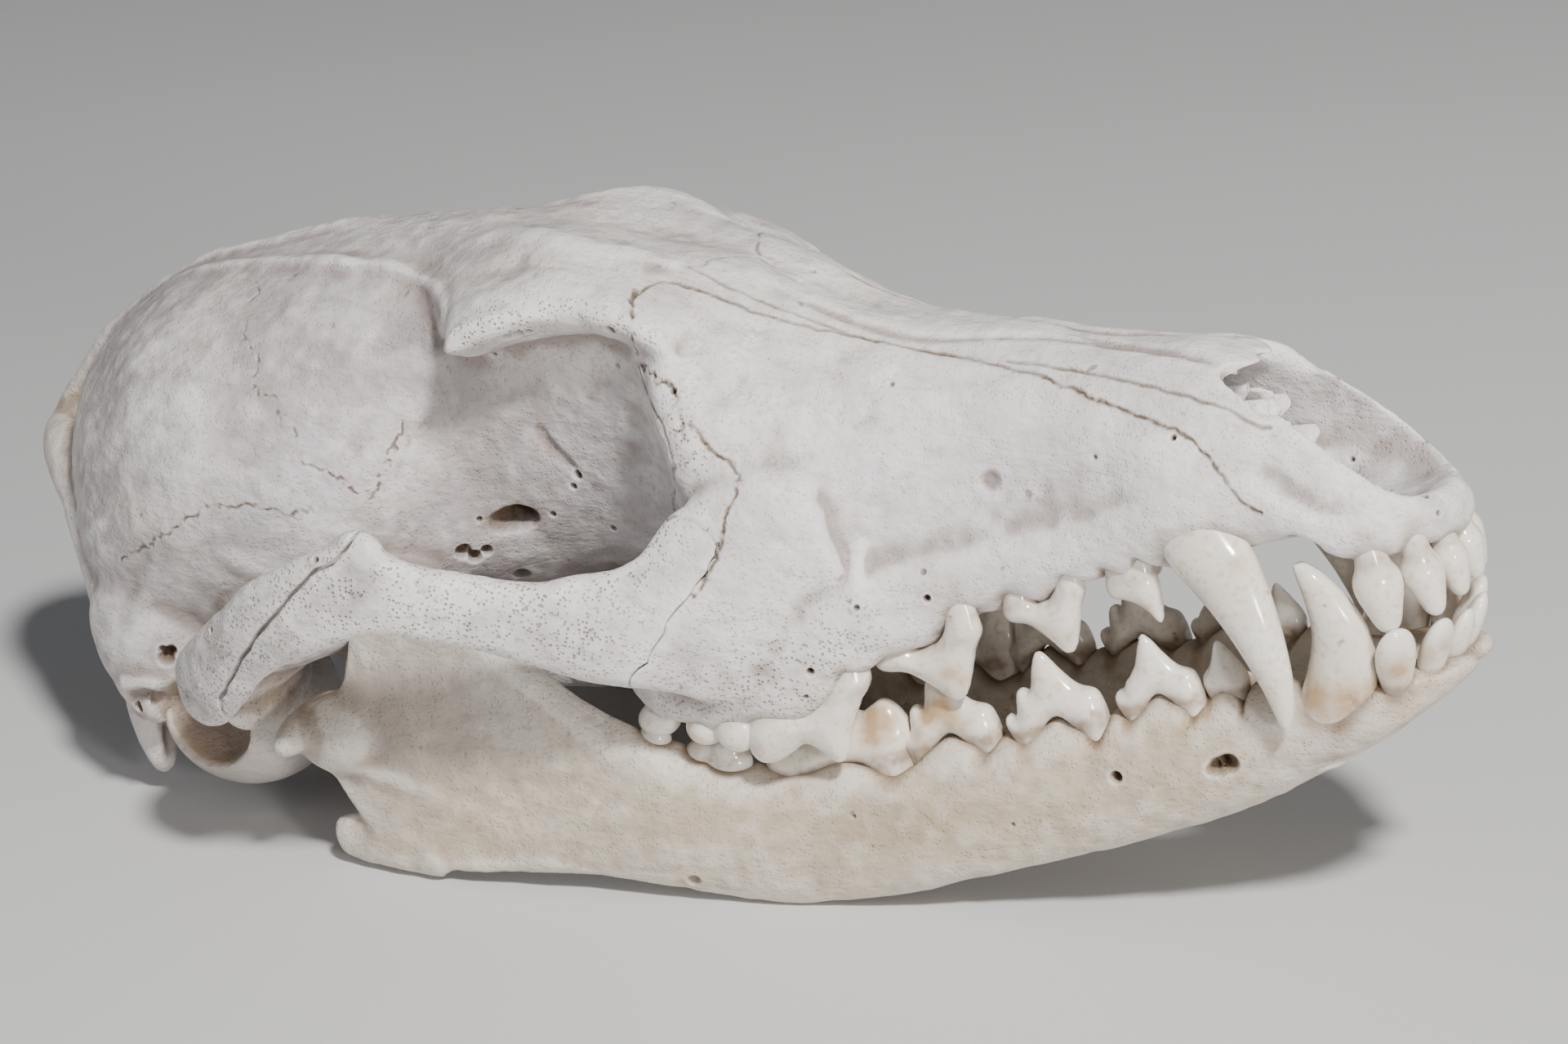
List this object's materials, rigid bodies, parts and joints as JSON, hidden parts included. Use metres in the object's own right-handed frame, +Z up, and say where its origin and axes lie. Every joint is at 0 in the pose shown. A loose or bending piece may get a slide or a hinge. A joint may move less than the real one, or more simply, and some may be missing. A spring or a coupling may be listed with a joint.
{
  "type": "fox skull with lower jaw",
  "caption": "Life-size fox skull with its lower jaw closed, cheek arches, ear capsules, eye and nose openings and full rows of teeth, lying on the lower edge of the jaw.",
  "frame": {"origin": "on the floor, under the middle of the skull's bounding box", "axes": "+X forward to the nose, +Y to the animal's left, +Z up"},
  "size_m": [0.1546, 0.0774, 0.06],
  "materials": {
    "bone": "dry cleaned bone, with glossy ivory teeth"
  },
  "bodies": {
    "root": {"upper_jaw": "bone", "braincase": "bone", "cheekbone_right": "bone", "cheekbone_left": "bone", "ear_capsule_right": "bone", "ear_capsule_left": "bone", "mandible_right": "bone", "mandible_left": "bone"}
  },
  "joints": []
}
